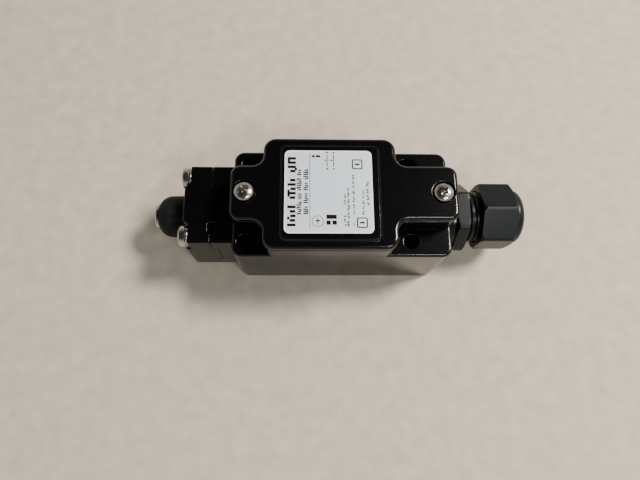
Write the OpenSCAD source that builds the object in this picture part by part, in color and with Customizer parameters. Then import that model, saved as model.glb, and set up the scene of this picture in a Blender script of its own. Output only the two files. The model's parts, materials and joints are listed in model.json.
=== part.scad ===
// Limit switch with a rounded steel plunger under a rubber boot.
// +X runs from the plunger to the cable gland, +Z from the mounting face to the cover.
// The origin is the centre of the four mounting holes, on the rear mounting face.

/* [Housing] */
// X of the housing's plunger end
body_left = -35.6; // [-37:0.1:-35.2]
// X of the housing's gland end
body_right = 45.2; // [44.6:0.1:47.5]
// Width of the housing
body_w = 41.2; // [41:0.1:44]
// Height of the mounting ears above the mounting face
ear_h = 33; // [31:0.5:35]
// Radius of the housing's upright corners
body_r = 3.8; // [2:0.1:4.5]
// Height of the raised rim above the ears
rim_h = 8.4; // [7:0.1:10]
// Half length of the rim's wide middle
rim_half_l = 23.8; // [23:0.1:24.2]
// Half width of the rim's narrow tongues
tongue_half_w = 10.2; // [9.6:0.1:10.8]
// Gap between the rim's tongue and the housing's wall at the plunger end
rim_inset = 0.3; // [0.1:0.1:0.6]
// Reach of the rim's wide middle past the housing's long walls
rim_over = 0.2; // [0.1:0.1:0.5]
// Reach of the rim's tongue past the ears at the gland end
tongue_over = 0.5; // [0:0.1:1]
// Height of the housing's floor
floor_h = 4; // [3:0.1:4]

/* [Mounting holes] */
// Hole spacing along the housing
hole_dx = 60; // [59:0.5:61]
// Hole spacing across the housing
hole_dy = 30; // [29.5:0.5:30.5]
// Diameter of the round holes and width of the slots
hole_d = 5.3; // [5:0.1:5.6]
// Overall length of the two slots
slot_l = 7.3; // [6.5:0.1:8]

/* [Cover] */
// Thickness of the gasket
gasket_t = 0.6; // [0.4:0.1:1]
// Thickness of the cover plate
cover_t = 2.4; // [2:0.1:3]
// Height of the raised panel
panel_h = 0.8; // [0.5:0.1:1.2]
// X of the cover screw at the plunger end
screw_left = -30.3; // [-30.5:0.1:-30]
// X of the cover screw at the gland end
screw_right = 40.2; // [40:0.1:40.6]
// Diameter of the cover screws' heads
cover_head_d = 7.2; // [6.8:0.1:7.6]
// Length of the label
label_l = 30.9; // [29:0.1:32]
// Width of the label
label_w = 30.8; // [29:0.1:32]

/* [Head] */
// Side of the square head and of the housing's neck
head_w = 30.4; // [30.2:0.1:31]
// Height of the plunger's axis above the mounting face
plunger_z = 16; // [15.8:0.1:17]
// X of the head's end face
head_face = -54.1; // [-54.4:0.1:-53.6]
// X of the joint between head and neck
head_joint = -43.8; // [-44:0.1:-43.5]
// Depth of the cross-shaped key
key_depth = 2; // [1.5:0.1:2.2]
// Half width of the key's arms
key_half_w = 6.7; // [6.5:0.1:7]
// Distance from the axis to the two upper head screws, each way
head_screw_at = 11.6; // [11.4:0.1:12]

/* [Gland] */
// Height of the gland's axis above the mounting face
gland_z = 17.2; // [16.8:0.1:17.6]
// Radius over the gland's threads
thread_r = 10; // [9.8:0.1:10]
// Width across flats of the gland body's hexagon
gland_af = 24; // [22:0.5:25]
// Width across flats of the gland nut
nut_af = 23.6; // [23.2:0.1:24]
// X of the gland nut's inner end
nut_left = 59.6; // [59.4:0.1:60.4]
// Turn of the gland body's flats about the gland's axis, in degrees
hex_turn = 6; // [0:0.1:60]
// Turn of the nut's flats about its own axis, in degrees
nut_turn = 31.5; // [0:0.1:60]

/* [Hidden] */
$fn = 64;
bite = 0.5;                          // overlap that makes a cut or a join run past a face
slip = 0.05;                         // radial clearance of running fits
touch = 0.03;                        // radial clearance of fastened fits
black = [0.03, 0.03, 0.035];
nylon = [0.15, 0.16, 0.17];
rubber = [0.05, 0.05, 0.05];
steel = [0.75, 0.74, 0.72];
brass = [0.72, 0.55, 0.25];
cream = [0.85, 0.82, 0.74];
body_half_w = body_w / 2;
rim_top = ear_h + rim_h;
rim_half_w = body_half_w + rim_over;
rim_left = body_left + rim_inset;
rim_right = body_right + tongue_over;
rim_r = 4.5;                         // outer corners of the rim's wide middle
tongue_r = 3.6;                        // end corners of the tongues
inner_r = 4;                         // inner corners between the middle and the tongues
cover_z = rim_top + gasket_t;
cover_top = cover_z + cover_t;
panel_top = cover_top + panel_h;
panel_half_l = 17.8;
panel_y = [-18.3, 17.7];
label_x = -16.1;                     // the label is stuck on a little off the panel's middle
label_y = -15.6;
label_t = 0.15;
cavity_half_l = 21;
cavity_half_w = 17.2;
cable_room_half_w = 7.6;
cable_room_right = 36;
skirt_gap = 0.4;
skirt_wall = 1.4;
skirt_h = 2.4;
recess_depth = 1.2;
seat_z = cover_top - recess_depth;
screw_r = 2;                         // M4 threads of the cover and head screws
head_half_w = head_w / 2;
seat_face = -51.9;                   // X of the upper head screws' seats
sunk_face = -49.8;                   // X of the lower head screws' seats, sunk in round holes
sunk_at = 10.6;                      // distance from the axis to the lower screws, each way
sunk_r = 4.3;
screw_reach = 15.4;                  // depth of the head screws' holes past their seats
seat_r = 4.9;
washer_t = 1;
pan_h = 3.1;
pan_r = 4;
stem_r = 3;
stem_end = -35;
clip_left = -41.85;
clip_right = -41.05;
spring_stop = -28;                   // X of the shoulder that carries the plunger's spring
bore_r = 5.5;
push_r = 2;
boot_face = -66.1;
boss_end = 49.2;
boss_r = 12.5;
gland_hex = [49.8, 54.3];
thread_pitch = 2;
gland_end = 64;
seal_end = 68;
slip_ring_x = [73.1, 73.9];
nut_flat_end = 73.6;
nut_end = 77;
nut_mouth_r = 6.2;
base_half_l = 19;
base_half_w = 15.5;
base_top = 26;
contact_y = 10.5;
contact_z = plunger_z;
terminal_y = 12;
terminal_x = [-14.6, 14.2];
block_screw_x = -1.55;
ground_x = 29;

// Flat shape: a rectangle from x to y limits with round corners
module plate_outline(x, y, r) {
    translate([x[0] + r, y[0]]) square([x[1] - x[0] - 2 * r, y[1] - y[0]]);
    translate([x[0], y[0] + r]) square([x[1] - x[0], y[1] - y[0] - 2 * r]);
    for (px = [x[0] + r, x[1] - r], py = [y[0] + r, y[1] - r]) {
        translate([px, py]) circle(r);
    }
}

// Flat shape of the rim, gasket and cover: a wide middle, two tongues, round inner corners
module cross_outline(inset = 0) {
    half_l = rim_half_l - inset;
    half_w = rim_half_w - inset;
    arm = tongue_half_w - inset;
    fillet = inner_r + inset;
    plate_outline([-half_l, half_l], [-half_w, half_w], rim_r - inset);
    plate_outline([rim_left + inset, rim_right - inset], [-arm, arm], tongue_r - inset);
    for (sx = [-1, 1], sy = [-1, 1]) {
        in_quadrant(sx, sy) translate([half_l, arm]) difference() {
            translate([-bite, -bite]) square(fillet + bite);
            translate([fillet, fillet]) circle(fillet);
        }
    }
}

// Mirrors a corner shape into the quadrant that the two signs give
module in_quadrant(sx, sy) {
    mirror([sx < 0 ? 1 : 0, 0]) mirror([0, sy < 0 ? 1 : 0]) children();
}

// Flat shape of the room inside the housing
module cavity_outline(gap = 0) {
    half_l = cavity_half_l - gap;
    half_w = cavity_half_w - gap;
    arm = cable_room_half_w - gap;
    plate_outline([-half_l, half_l], [-half_w, half_w], 3);
    translate([0, -arm]) square([cable_room_right - gap, 2 * arm]);
}

// Solid of revolution about an axis along X; the profile's points are [radius, x]
module turned(z) {
    translate([0, 0, z]) rotate([0, 90, 0]) rotate_extrude() children();
}

// Round bar along X
module bar_x(x, r, z, y = 0) {
    translate([x[0], y, z]) rotate([0, 90, 0]) cylinder(r = r, h = x[1] - x[0]);
}

// Ring along X
module ring_x(x, r_in, r_out, z, y = 0) {
    difference() {
        bar_x(x, r_out, z, y);
        bar_x([x[0] - bite, x[1] + bite], r_in, z, y);
    }
}

// Box from its limits
module box(x, y, z) {
    translate([x[0], y[0], z[0]]) cube([x[1] - x[0], y[1] - y[0], z[1] - z[0]]);
}

// Repeats a piece at the four head screws, with x = 0 at each screw's seat
module at_head_screws() {
    for (sy = [-1, 1]) {
        translate([seat_face, sy * head_screw_at, plunger_z + head_screw_at]) children();
        translate([sunk_face, sy * sunk_at, plunger_z - sunk_at]) children();
    }
}

// Repeats a piece at the two cover screws
module at_cover_screws() {
    for (x = [screw_left, screw_right]) {
        translate([x, 0, 0]) children();
    }
}

// Repeats a piece at the four terminals
module at_terminals() {
    for (x = terminal_x, sy = [-1, 1]) {
        translate([x, sy * terminal_y, 0]) children();
    }
}

// Screw pointing down from z = 0: round head with a cross recess, and a shank
module screw(head_r, head_h, shank_r, shank_l) {
    slot_w = head_r * 0.24;
    slot_l = head_r * 1.1;
    difference() {
        union() {
            cylinder(r = head_r, h = head_h * 0.62);
            cylinder(r1 = head_r, r2 = head_r * 0.62, h = head_h);
        }
        translate([-slot_l / 2, -slot_w / 2, head_h * 0.4]) cube([slot_l, slot_w, head_h]);
        translate([-slot_w / 2, -slot_l / 2, head_h * 0.4]) cube([slot_w, slot_l, head_h]);
    }
    translate([0, 0, -shank_l]) cylinder(r = shank_r, h = shank_l);
}

// Points of one ring of a coil's wire, at turn angle a and height h
function wire_ring(r, wire, a, h, sides) = [
    for (k = [0:sides - 1])
        let (t = 360 * k / sides, q = r + wire * cos(t))
        [q * cos(a), q * sin(a), h + wire * sin(t)]
];

// Coil spring along +Z from z = 0 to z = len
module coil(r, wire, len, turns) {
    sides = 6;
    per_turn = 16;
    steps = turns * per_turn;
    rise = len - 2 * wire;
    points = [
        for (i = [0:steps]) each wire_ring(r, wire, 360 * i / per_turn, wire + rise * i / steps, sides)
    ];
    walls = [
        for (i = [0:steps - 1], k = [0:sides - 1])
            let (n = (k + 1) % sides, a = i * sides, b = a + sides)
            [a + k, b + k, b + n, a + n]
    ];
    start_cap = [for (k = [0:sides - 1]) k];
    end_cap = [for (k = [sides - 1:-1:0]) steps * sides + k];
    polyhedron(points, concat(walls, [start_cap, end_cap]));
}

// Coil spring along +X
module coil_x(x, r, wire, turns, z) {
    translate([x[0], 0, z]) rotate([0, 90, 0]) coil(r, wire, x[1] - x[0], turns);
}

// Cross-shaped key of the head, grown by a gap for its recess in the neck
module key(x, gap = 0) {
    arm = key_half_w + gap;
    box(x, [-head_half_w - gap, head_half_w + gap], [plunger_z - arm, plunger_z + arm]);
    box(x, [-arm, arm], [plunger_z - head_half_w - gap, plunger_z + head_half_w + gap]);
}

// Small pocket that spans the joint on the upper faces of head and neck
module pocket() {
    box([-44.9, -41.9], [-11.4, -6.9], [plunger_z + head_half_w - 0.8, plunger_z + head_half_w + bite]);
}

module housing() {
    color(black) difference() {
        union() {
            linear_extrude(ear_h) plate_outline([body_left, body_right], [-body_half_w, body_half_w], body_r);
            translate([0, 0, ear_h - bite]) linear_extrude(rim_h + bite) cross_outline();
            box([head_joint, body_left + body_r + bite], [-head_half_w, head_half_w],
                [plunger_z - head_half_w, plunger_z + head_half_w]);
            bar_x([body_right - bite, boss_end], boss_r, gland_z);
        }
        translate([0, 0, floor_h]) linear_extrude(rim_top) cavity_outline();
        mounting_holes();
        key([head_joint - bite, head_joint + key_depth + 0.1], 0.12);
        pocket();
        bar_x([head_joint - bite, spring_stop], bore_r, plunger_z);
        bar_x([spring_stop - bite, -cavity_half_l + bite], push_r + 1.5, plunger_z);
        bar_x([cable_room_right - bite, boss_end + bite], thread_r + slip, gland_z);
        at_head_screws() bar_x([head_joint - bite - sunk_face, screw_reach], screw_r + touch, 0);
        at_cover_screws() translate([0, 0, ear_h - 3.5]) cylinder(r = screw_r + touch, h = rim_top);
        for (sy = [-1, 1]) {
            translate([block_screw_x, sy * terminal_y, 1.2]) cylinder(r = 1.5 + touch, h = floor_h);
        }
        translate([ground_x, 0, 1.2]) cylinder(r = 1.75 + touch, h = floor_h);
    }
}

// Two round holes and two slots through the ears
module mounting_holes() {
    for (s = [-1, 1]) {
        translate([s * hole_dx / 2, -s * hole_dy / 2, -bite]) cylinder(d = hole_d, h = ear_h + 2 * bite);
        translate([s * hole_dx / 2, s * hole_dy / 2, -bite]) linear_extrude(ear_h + 2 * bite) {
            reach = (slot_l - hole_d) / 2;
            translate([-reach, -hole_d / 2]) square([2 * reach, hole_d]);
            for (e = [-reach, reach]) {
                translate([e, 0]) circle(d = hole_d);
            }
        }
    }
}

module head() {
    color(black) difference() {
        union() {
            box([head_face, head_joint], [-head_half_w, head_half_w],
                [plunger_z - head_half_w, plunger_z + head_half_w]);
            key([head_joint - bite, head_joint + key_depth]);
        }
        for (sy = [0, 1]) {
            mirror([0, sy, 0]) translate([head_face - bite, 0, plunger_z])
                screw_seat(seat_face - head_face + bite);
            mirror([0, sy, 0]) bar_x([head_face - bite, sunk_face], sunk_r, plunger_z - sunk_at, sunk_at);
        }
        at_head_screws() bar_x([-bite, head_joint + key_depth + bite - seat_face], screw_r + 0.25, 0);
        bar_x([head_face - bite, head_joint + key_depth + bite], 5 + touch, plunger_z);
        bar_x([head_face - bite, head_face + 2], 8.8, plunger_z);
        ring_x([head_joint + 0.5, head_joint + key_depth + bite], 6.8, 8.8, plunger_z);
        pocket();
    }
}

// Corner cut that seats one head screw, in the +Y +Z corner, running along +X from x = 0
module screw_seat(depth) {
    edge = head_screw_at - seat_r;
    room = head_half_w + bite - head_screw_at;
    bar_x([0, depth], seat_r, head_screw_at, head_screw_at);
    box([0, depth], [head_screw_at, head_screw_at + room], [edge, head_screw_at + room]);
    box([0, depth], [edge, head_screw_at + room], [head_screw_at, head_screw_at + room]);
}

module head_seal() {
    color(rubber) turned(plunger_z) translate([7.8, head_joint + key_depth - 0.7]) circle(0.72);
}

module head_screws() {
    color(steel) at_head_screws() translate([-washer_t, 0, 0]) rotate([0, -90, 0])
        screw(pan_r, pan_h, screw_r, 15);
}

module head_washers() {
    color(steel) at_head_screws() ring_x([-washer_t, 0], screw_r + 0.1, 3.8, 0);
}

module bushing() {
    color(brass) ring_x([head_face + 2, -42], stem_r + slip, 5, plunger_z);
}

// Dome of the boot: a quarter ellipse, then a slight cone, as a wall of even thickness
module boot() {
    wall = 1.2;
    bend = -61;                      // X where the dome meets the cone
    lip = stem_r + slip;
    outer = [for (a = [0:10:90]) [4.1 + 4.1 * sin(a), bend + (boot_face - bend) * cos(a)]];
    inner = [for (a = [90:-10:0]) [3.2 + 3.8 * sin(a), bend + (boot_face + wall - bend) * cos(a)]];
    flange = [[8.4, head_face], [8.6, head_face], [8.6, head_face + 1.9], [7.2, head_face + 1.9]];
    color(rubber) turned(plunger_z) polygon(concat([[lip, boot_face]], outer, flange, inner,
        [[lip, boot_face + wall]]));
}

module plunger() {
    tip = boot_face - 0.05;
    color(steel) turned(plunger_z) polygon([
        [0, tip - 2.1], [2.6, tip - 2], [4.1, tip - 1.7], [4.8, tip - 1.25], [5.1, tip - 0.7],
        [5.1, tip], [stem_r, tip], [stem_r, clip_left - slip], [2.5, clip_left - slip],
        [2.5, clip_right + slip], [stem_r, clip_right + slip], [stem_r, stem_end - 0.4],
        [stem_r - 0.4, stem_end], [0, stem_end]
    ]);
}

module plunger_clip() {
    color(steel) ring_x([clip_left, clip_right], 2.5 + slip, 4.6, plunger_z);
}

module plunger_spring() {
    color(steel) coil_x([clip_right + 0.1, spring_stop - 0.1], 4.2, 0.35, 6, plunger_z);
}

module cover() {
    color(black) difference() {
        union() {
            translate([0, 0, cover_z]) linear_extrude(cover_t) cross_outline();
            translate([0, 0, cover_top - bite]) linear_extrude(panel_h + bite)
                plate_outline([-panel_half_l, panel_half_l], panel_y, 2.2);
            translate([0, 0, cover_z - skirt_h]) linear_extrude(skirt_h + bite)
                cavity_outline(skirt_gap);
        }
        translate([0, 0, cover_z - skirt_h - bite]) linear_extrude(skirt_h + bite)
            cavity_outline(skirt_gap + skirt_wall);
        at_cover_screws() translate([0, 0, seat_z]) cylinder(d = cover_head_d + 1, h = cover_t);
        at_cover_screws() translate([0, 0, cover_z - bite]) cylinder(r = screw_r + 0.2, h = cover_t);
    }
}

module cover_gasket() {
    color(rubber) difference() {
        translate([0, 0, rim_top]) linear_extrude(gasket_t) cross_outline(0.4);
        translate([0, 0, rim_top - bite]) linear_extrude(gasket_t + 2 * bite) cavity_outline(-0.2);
        at_cover_screws() translate([0, 0, rim_top - bite]) cylinder(r = screw_r + 0.3, h = 2 * bite + 1);
    }
}

module cover_screws() {
    color(steel) at_cover_screws() translate([0, 0, seat_z]) screw(cover_head_d / 2, 2.4, screw_r, 13);
}

module label() {
    color([0.84, 0.85, 0.87]) translate([0, 0, panel_top]) linear_extrude(label_t)
        plate_outline([label_x, label_x + label_l], [label_y, label_y + label_w], 1.8);
}

// Teeth of a thread as rings: points [radius, x] for a profile, from x to x + count * pitch
function teeth(x, count) = [
    for (i = [0:count - 1])
        let (at = x + i * thread_pitch)
        each [[thread_r - 0.9, at], [thread_r, at + 0.7], [thread_r, at + 1.1], [thread_r - 0.9, at + 1.8]]
];

module gland_body() {
    color(nylon) difference() {
        union() {
            bar_x([38.5, gland_hex[0] + bite], thread_r - touch, gland_z);
            translate([gland_hex[0], 0, gland_z]) rotate([0, 90, 0]) rotate([0, 0, 30 + hex_turn])
                cylinder(d = gland_af / cos(30), h = gland_hex[1] - gland_hex[0], $fn = 6);
            turned(gland_z) polygon(concat([[0, gland_hex[1] - bite], [9.1, gland_hex[1] - bite]],
                teeth(gland_hex[1] + 0.1, 4), [[9.1, gland_end], [0, gland_end]]));
        }
        bar_x([38, gland_end + bite], 6.5, gland_z);
        bar_x([57, gland_end + bite], 8, gland_z);
    }
}

module gland_washer() {
    color(rubber) ring_x([boss_end, gland_hex[0]], thread_r + 0.1, 11.8, gland_z);
}

module gland_seal() {
    color(rubber) ring_x([57.1, seal_end], 4.6, 7.9, gland_z);
}

module gland_fingers() {
    color(nylon) difference() {
        ring_x([gland_end + 0.05, seal_end], 8, 8.9, gland_z);
        for (a = [0:30:150]) {
            translate([gland_end + 2.2, 0, gland_z]) rotate([a, 0, 0])
                translate([0, -10, -0.5]) cube([3, 20, 1]);
        }
    }
}

module gland_slip_ring() {
    color(nylon) ring_x(slip_ring_x, nut_mouth_r, 8.6, gland_z);
}

module gland_nut() {
    corner_r = nut_af / 2 / cos(30);
    color(nylon) difference() {
        union() {
            intersection() {
                translate([nut_left, 0, gland_z]) rotate([0, 90, 0]) rotate([0, 0, 30 + nut_turn])
                    cylinder(r = corner_r, h = nut_end - nut_left, $fn = 6);
                turned(gland_z) polygon([[0, nut_left], [corner_r - 0.9, nut_left],
                    [corner_r + 0.5, nut_left + 1.6], [corner_r + 0.5, nut_flat_end - 1.9],
                    [11, nut_flat_end], [0, nut_flat_end]]);
            }
            turned(gland_z) polygon(concat([[0, nut_flat_end - 3], [10.9, nut_flat_end - 3]],
                [for (a = [0:10:80]) [6.7 + 4.2 * cos(a), nut_flat_end + (nut_end - nut_flat_end) * sin(a)]],
                [[7.2, nut_end], [0, nut_end]]));
        }
        turned(gland_z) polygon([[0, nut_left - bite], [thread_r + 0.1, nut_left - bite],
            [thread_r + 0.1, slip_ring_x[0] - 0.2], [nut_mouth_r, slip_ring_x[1] + 2],
            [nut_mouth_r, nut_end + bite], [0, nut_end + bite]]);
    }
}

module block_base() {
    color([0.12, 0.11, 0.1]) difference() {
        box([-base_half_l, base_half_l], [-base_half_w, base_half_w], [floor_h + 0.05, base_top]);
        box([-base_half_l - bite, base_half_l - 1], [-5.2, 5.2], [10, base_top + bite]);
        for (x = [[-12.3, -3.9], [0.8, 9.6]]) {
            box(x, [-13.2, 13.2], [13.6, base_top + bite]);
        }
        at_terminals() translate([0, 0, 14]) cylinder(r = 1.75 + touch, h = base_top);
        for (sy = [-1, 1]) {
            translate([block_screw_x, sy * terminal_y, 0]) cylinder(r = 1.7, h = base_top + bite);
        }
    }
}

module block_lid() {
    color(cream) box([-17, 17], [-7.4, 7.4], [base_top + 0.05, base_top + 3]);
    color(cream) box([-2.9, -0.2], [-5, 5], [base_top - 2.4, base_top + 0.1]);
}

module block_screws() {
    for (sy = [-1, 1]) {
        color(steel) translate([block_screw_x, sy * terminal_y, base_top]) screw(2.6, 2, 1.5, 24);
    }
}

// Sliding carrier: a push rod and a block with a window for each contact bridge
module carrier() {
    color(cream) difference() {
        union() {
            bar_x([stem_end + 0.05, -17.5], push_r, plunger_z);
            box([-18, 8], [-4.9, 4.9], [10.4, 22]);
        }
        for (x = [[-10.9, -6], [-2.6, 2.5]]) {
            box(x, [-4.9 - bite, 4.9 + bite], [contact_z - 1.8, contact_z + 1.8]);
        }
    }
}

module carrier_spring() {
    color(steel) coil_x([8.1, base_half_l - 1.1], 3, 0.3, 6, plunger_z);
}

// Bridge plate across both contacts, with a contact button at each end on its working side
module bridge(x, working_side) {
    color(brass) box(x, [-12.4, 12.4], [contact_z - 1.6, contact_z + 1.6]);
    face = working_side < 0 ? x[0] - 0.3 : x[1] - bite;
    for (sy = [-1, 1]) {
        color(steel) bar_x([face, face + 0.3 + bite], 1.4, contact_z, sy * contact_y);
    }
}

module bridge_closed() {
    bridge([-10.85, -10.05], -1);
}

module bridge_open() {
    bridge([1.65, 2.45], 1);
}

module contact_springs() {
    color(steel) coil_x([-10, -6.05], 1.35, 0.2, 4, contact_z);
    color(steel) coil_x([-2.55, 1.6], 1.35, 0.2, 4, contact_z);
}

// One terminal: a tab down into the block with a fixed contact, and a plate on the block's top
module terminal_plate(tab, plate, contact) {
    color(brass) difference() {
        union() {
            box(tab, [8.6, 12.4], [14.2, base_top + 1]);
            box(plate, [8.6, 15.3], [base_top, base_top + 1]);
            bar_x(contact, 1.4, contact_z, contact_y);
        }
        translate([plate[0] < 0 ? terminal_x[0] : terminal_x[1], terminal_y, base_top - bite])
            cylinder(r = 1.9, h = 2);
    }
}

module terminal_plates() {
    for (sy = [0, 1]) {
        mirror([0, sy, 0]) terminal_plate([-12.2, -11.6], [-18.3, -11.6], [-11.8, -11.2]);
        mirror([0, sy, 0]) terminal_plate([8.8, 9.4], [8.8, 18.3], [8.3, 9]);
    }
}

module terminal_clamps() {
    color(steel) at_terminals() difference() {
        box([-3.3, 3.3], [-3.1, 3.1], [base_top + 1.05, base_top + 2]);
        translate([0, 0, base_top]) cylinder(r = 1.9, h = 3);
    }
}

module terminal_screws() {
    color(steel) at_terminals() translate([0, 0, base_top + 2.05]) screw(3, 2.2, 1.75, 12);
}

module ground_screw() {
    color(steel) translate([ground_x, 0, floor_h + 1.1]) screw(3.2, 2.4, 1.75, 3.5);
}

module ground_clamp() {
    color(brass) difference() {
        box([ground_x - 3.6, ground_x + 3.6], [-3.6, 3.6], [floor_h + 0.02, floor_h + 1.05]);
        translate([ground_x, 0, floor_h - bite]) cylinder(r = 1.9, h = 3);
    }
}

housing();
head();
head_seal();
head_screws();
head_washers();
bushing();
boot();
plunger();
plunger_clip();
plunger_spring();
cover();
cover_gasket();
cover_screws();
label();
gland_body();
gland_washer();
gland_seal();
gland_fingers();
gland_slip_ring();
gland_nut();
block_base();
block_lid();
block_screws();
carrier();
carrier_spring();
bridge_closed();
bridge_open();
contact_springs();
terminal_plates();
terminal_clamps();
terminal_screws();
ground_screw();
ground_clamp();
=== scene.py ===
"""Limit switch with a round plunger, in glossy black enamel, built as surfaces around its CAD frame.

Shapes are worked out in millimetres, in the frame's own axes, and reach the mesh in metres.
"""

import json
import math

import bmesh
import bpy
import numpy as np
from mathutils import Matrix, Vector


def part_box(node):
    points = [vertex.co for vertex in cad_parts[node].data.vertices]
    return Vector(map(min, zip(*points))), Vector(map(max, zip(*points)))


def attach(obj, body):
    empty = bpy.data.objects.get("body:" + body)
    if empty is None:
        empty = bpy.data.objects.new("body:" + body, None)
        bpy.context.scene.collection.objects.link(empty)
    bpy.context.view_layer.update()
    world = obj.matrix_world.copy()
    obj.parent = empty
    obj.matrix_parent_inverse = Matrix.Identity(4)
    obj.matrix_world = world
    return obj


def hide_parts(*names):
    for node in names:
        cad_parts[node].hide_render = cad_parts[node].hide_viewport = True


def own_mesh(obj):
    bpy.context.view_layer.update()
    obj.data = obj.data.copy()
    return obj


bl_info = {
    "name": "Limit Switch",
    "version": (1, 0, 0),
    "blender": (4, 5, 0),
    "location": "3D View > Sidebar > Limit Switch",
    "description": "Builds a plunger limit switch around its CAD frame",
    "category": "Object",
}

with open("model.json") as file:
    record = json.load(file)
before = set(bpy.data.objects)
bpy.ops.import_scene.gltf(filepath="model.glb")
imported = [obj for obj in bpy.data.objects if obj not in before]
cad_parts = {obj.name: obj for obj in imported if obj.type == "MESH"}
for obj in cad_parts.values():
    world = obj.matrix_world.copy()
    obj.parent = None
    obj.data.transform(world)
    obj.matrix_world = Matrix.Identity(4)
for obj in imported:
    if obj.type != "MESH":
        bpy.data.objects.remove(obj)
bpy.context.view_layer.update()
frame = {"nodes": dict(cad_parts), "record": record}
RECORD = frame["record"]
MM = 0.001
WELD = 2e-7                # points closer than this are one, in metres


def limits(node):
    """Lowest and highest corner of a CAD node, in millimetres."""
    low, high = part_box(node)
    return np.array(low) / MM, np.array(high) / MM


HOUSING_LOW, HOUSING_HIGH = limits("housing")
COVER_LOW, COVER_HIGH = limits("cover")
HEAD_LOW, HEAD_HIGH = limits("head")
LABEL_LOW, LABEL_HIGH = limits("label")
BOOT_LOW, BOOT_HIGH = limits("boot")
PLUNGER_LOW, PLUNGER_HIGH = limits("plunger")
GLAND_LOW, GLAND_HIGH = limits("gland_body")
NUT_LOW, NUT_HIGH = limits("gland_nut")
SEAL_LOW, SEAL_HIGH = limits("gland_seal")
COVER_SCREWS_LOW, COVER_SCREWS_HIGH = limits("cover_screws")
HEAD_SCREWS_LOW, HEAD_SCREWS_HIGH = limits("head_screws")
WASHERS_LOW, WASHERS_HIGH = limits("head_washers")
GASKET_LOW, GASKET_HIGH = limits("cover_gasket")
PLUNGER_Z = (PLUNGER_LOW[2] + PLUNGER_HIGH[2]) / 2
GLAND_Z = (SEAL_LOW[2] + SEAL_HIGH[2]) / 2
HEAD_HALF = (HEAD_HIGH[1] - HEAD_LOW[1]) / 2
NECK_START = HOUSING_LOW[0]

# Bodies and material slots of the CAD nodes, as the record gives them
BODY_OF = {node: body for body, nodes in RECORD["behaviour"]["bodies"].items() for node in nodes}
SLOT_OF = {part["node"]: part["material_slot"] for part in RECORD["subparts"]}


def length(name, description, default):
    """Property for a length that is given in millimetres and stored in metres."""
    return bpy.props.FloatProperty(
        name=name, description=description, default=default * MM, min=0.0, precision=5, unit="LENGTH"
    )


def colour(name, description, default):
    """Property for a linear colour."""
    return bpy.props.FloatVectorProperty(
        name=name, description=description, default=default, min=0.0, max=1.0, size=3, subtype="COLOR"
    )


class SwitchSizes(bpy.types.PropertyGroup):
    """Sizes that finish the shapes the frame gives."""

    ear_height: length("Ear height", "Height of the mounting ears", 33.0)
    body_corner: length("Body corner", "Radius of the housing's upright corners", 3.8)
    body_edge: length("Body edge", "Rounding of the housing's upper edges", 1.2)
    cover_edge: length("Cover edge", "Rounding of the cover's upper edge", 1.6)
    panel_slope: length("Panel slope", "Width of the slope around the cover's panel", 0.9)
    head_edge: length("Head edge", "Rounding of the head's edges", 0.7)
    joint_gap: length("Joint gap", "Gap between the head and the neck", 0.2)
    thread_pitch: length("Thread pitch", "Pitch of the gland's outer thread", 2.0)
    thread_depth: length("Thread depth", "Depth of the gland's outer thread", 0.9)
    label_border: length("Label border", "Width of the label's white border", 0.5)
    print_height: length("Print height", "Height of the print above the label", 0.02)


class SwitchColours(bpy.types.PropertyGroup):
    """Colours of the finishes."""

    enamel: colour("Enamel", "Baked black enamel", (0.0016, 0.0016, 0.0017))
    nylon: colour("Nylon", "Moulded gland nylon", (0.0075, 0.0085, 0.0095))
    rubber: colour("Rubber", "Boot and seal rubber", (0.0045, 0.0045, 0.0048))
    steel: colour("Steel", "Stainless steel", (0.62, 0.57, 0.49))
    foil: colour("Label foil", "Silver-grey field of the label", (0.72, 0.765, 0.825))
    border: colour("Label border", "White edge of the label", (0.86, 0.87, 0.88))
    ink: colour("Ink", "Print on the label", (0.003, 0.003, 0.0035))
    floor: colour("Floor", "Pale floor", (0.54, 0.475, 0.375))


# ---------------------------------------------------------------- outlines and surfaces


def rounded(corners, inset=0.0, steps=8):
    """Closed outline through corners (x, y, radius), anticlockwise, moved inwards by inset.

    Each corner is an arc about the point that lies one radius from both of its sides, so an inset
    only takes from the arc's radius where the outline bulges and adds to it where it is hollow.
    """
    points = np.array([corner[:2] for corner in corners], float)
    radius = np.array([corner[2] for corner in corners], float)
    into = points - np.roll(points, 1, axis=0)
    into /= np.linalg.norm(into, axis=1)[:, None]
    out = np.roll(into, -1, axis=0)
    turn = np.arctan2(into[:, 0] * out[:, 1] - into[:, 1] * out[:, 0], (into * out).sum(1))
    side = np.sign(turn)
    left = np.column_stack([-into[:, 1], into[:, 0]])
    centre = points - into * (radius * np.tan(abs(turn) / 2))[:, None] + left * (side * radius)[:, None]
    start = np.arctan2(-left[:, 1] * side, -left[:, 0] * side)
    angle = start[:, None] + turn[:, None] * np.linspace(0, 1, steps)
    reach = (radius - side * inset)[:, None]
    x = centre[:, :1] + reach * np.cos(angle)
    y = centre[:, 1:] + reach * np.sin(angle)
    return np.column_stack([x.ravel(), y.ravel()])


def rectangle(x, y, radius):
    """Corners of a rectangle with limits x and y and one radius."""
    return [(x[0], y[0], radius), (x[1], y[0], radius), (x[1], y[1], radius), (x[0], y[1], radius)]


def centred(half_x, half_y, radius):
    """Corners of a rectangle about the origin, from its half sizes and one radius."""
    return rectangle((-half_x, half_x), (-half_y, half_y), radius)


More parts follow.
